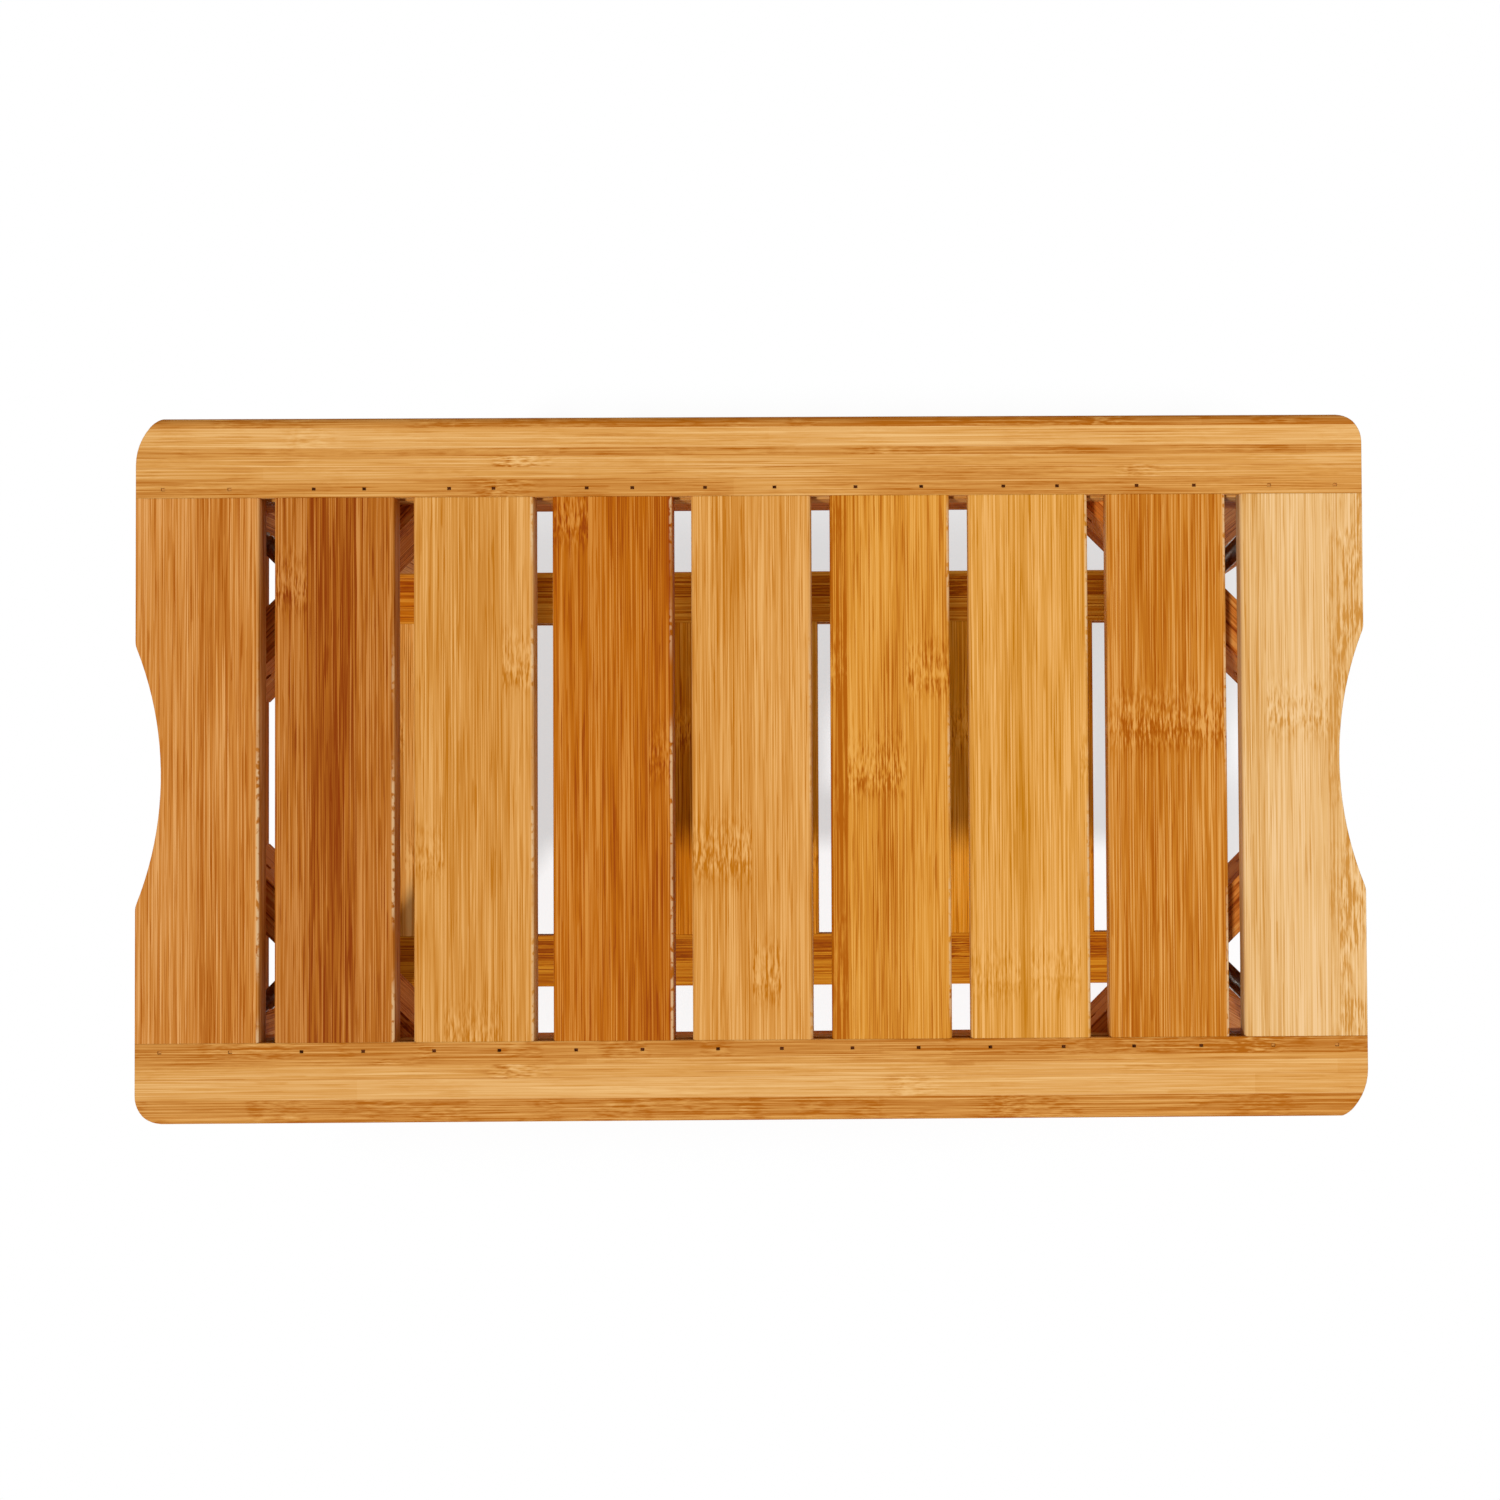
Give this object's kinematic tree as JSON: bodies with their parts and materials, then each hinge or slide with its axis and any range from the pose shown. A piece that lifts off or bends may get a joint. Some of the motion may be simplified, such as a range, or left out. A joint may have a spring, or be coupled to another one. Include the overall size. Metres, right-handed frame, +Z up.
{
  "type": "shower bench",
  "caption": "Slatted bamboo shower bench on four legs, with scooped end boards to lift it by, braced corners and a slatted storage shelf.",
  "frame": {"origin": "on the floor, under the middle of the seat", "axes": "+Z up, +X along the bench, +Y towards the side called back"},
  "size_m": [0.508, 0.292, 0.457],
  "materials": {
    "bamboo_rail": "lacquered bamboo, semi-gloss",
    "bamboo_honey": "lacquered bamboo, semi-gloss",
    "bamboo_pale": "lacquered bamboo, semi-gloss",
    "bamboo_amber": "lacquered bamboo, semi-gloss",
    "bamboo_brown": "lacquered bamboo, semi-gloss",
    "bamboo_frame": "lacquered bamboo, semi-gloss",
    "bamboo_shelf": "lacquered bamboo, semi-gloss",
    "rubber_pad": "matt black rubber",
    "zinc_steel": "bright zinc plate",
    "screw_steel": "zinc plate"
  },
  "bodies": {
    "root": {"seat_rail_back": "bamboo_rail", "seat_rail_front": "bamboo_rail", "end_board_left": "bamboo_honey", "end_board_right": "bamboo_pale", "seat_slat_1": "bamboo_brown", "seat_slat_2": "bamboo_honey", "seat_slat_3": "bamboo_brown", "seat_slat_4": "bamboo_pale", "seat_slat_5": "bamboo_amber", "seat_slat_6": "bamboo_honey", "seat_slat_7": "bamboo_amber", "long_apron_back": "bamboo_frame", "long_apron_front": "bamboo_frame", "short_apron_left": "bamboo_frame", "short_apron_right": "bamboo_frame", "corner_brace_front_left": "bamboo_frame", "leg_front_left": "bamboo_frame", "foot_pad_front_left": "rubber_pad", "corner_brace_front_right": "bamboo_frame", "leg_front_right": "bamboo_frame", "foot_pad_front_right": "rubber_pad", "corner_brace_back_left": "bamboo_frame", "leg_back_left": "bamboo_frame", "foot_pad_back_left": "rubber_pad", "corner_brace_back_right": "bamboo_frame", "leg_back_right": "bamboo_frame", "foot_pad_back_right": "rubber_pad", "shelf_rail_back": "bamboo_shelf", "shelf_rail_front": "bamboo_shelf", "shelf_end_board_left": "bamboo_shelf", "shelf_end_board_right": "bamboo_shelf", "shelf_slat_1": "bamboo_shelf", "shelf_slat_2": "bamboo_shelf", "shelf_slat_3": "bamboo_shelf", "shelf_slat_4": "bamboo_shelf", "shelf_slat_5": "bamboo_shelf", "shelf_slat_6": "bamboo_shelf", "shelf_slat_7": "bamboo_shelf", "hanger_bolts": "zinc_steel", "hanger_bolt_washers": "zinc_steel", "hanger_bolt_nuts": "zinc_steel", "brace_screws": "screw_steel", "seat_screws": "screw_steel", "shelf_screws": "screw_steel", "brad_nails": "screw_steel"}
  },
  "joints": []
}
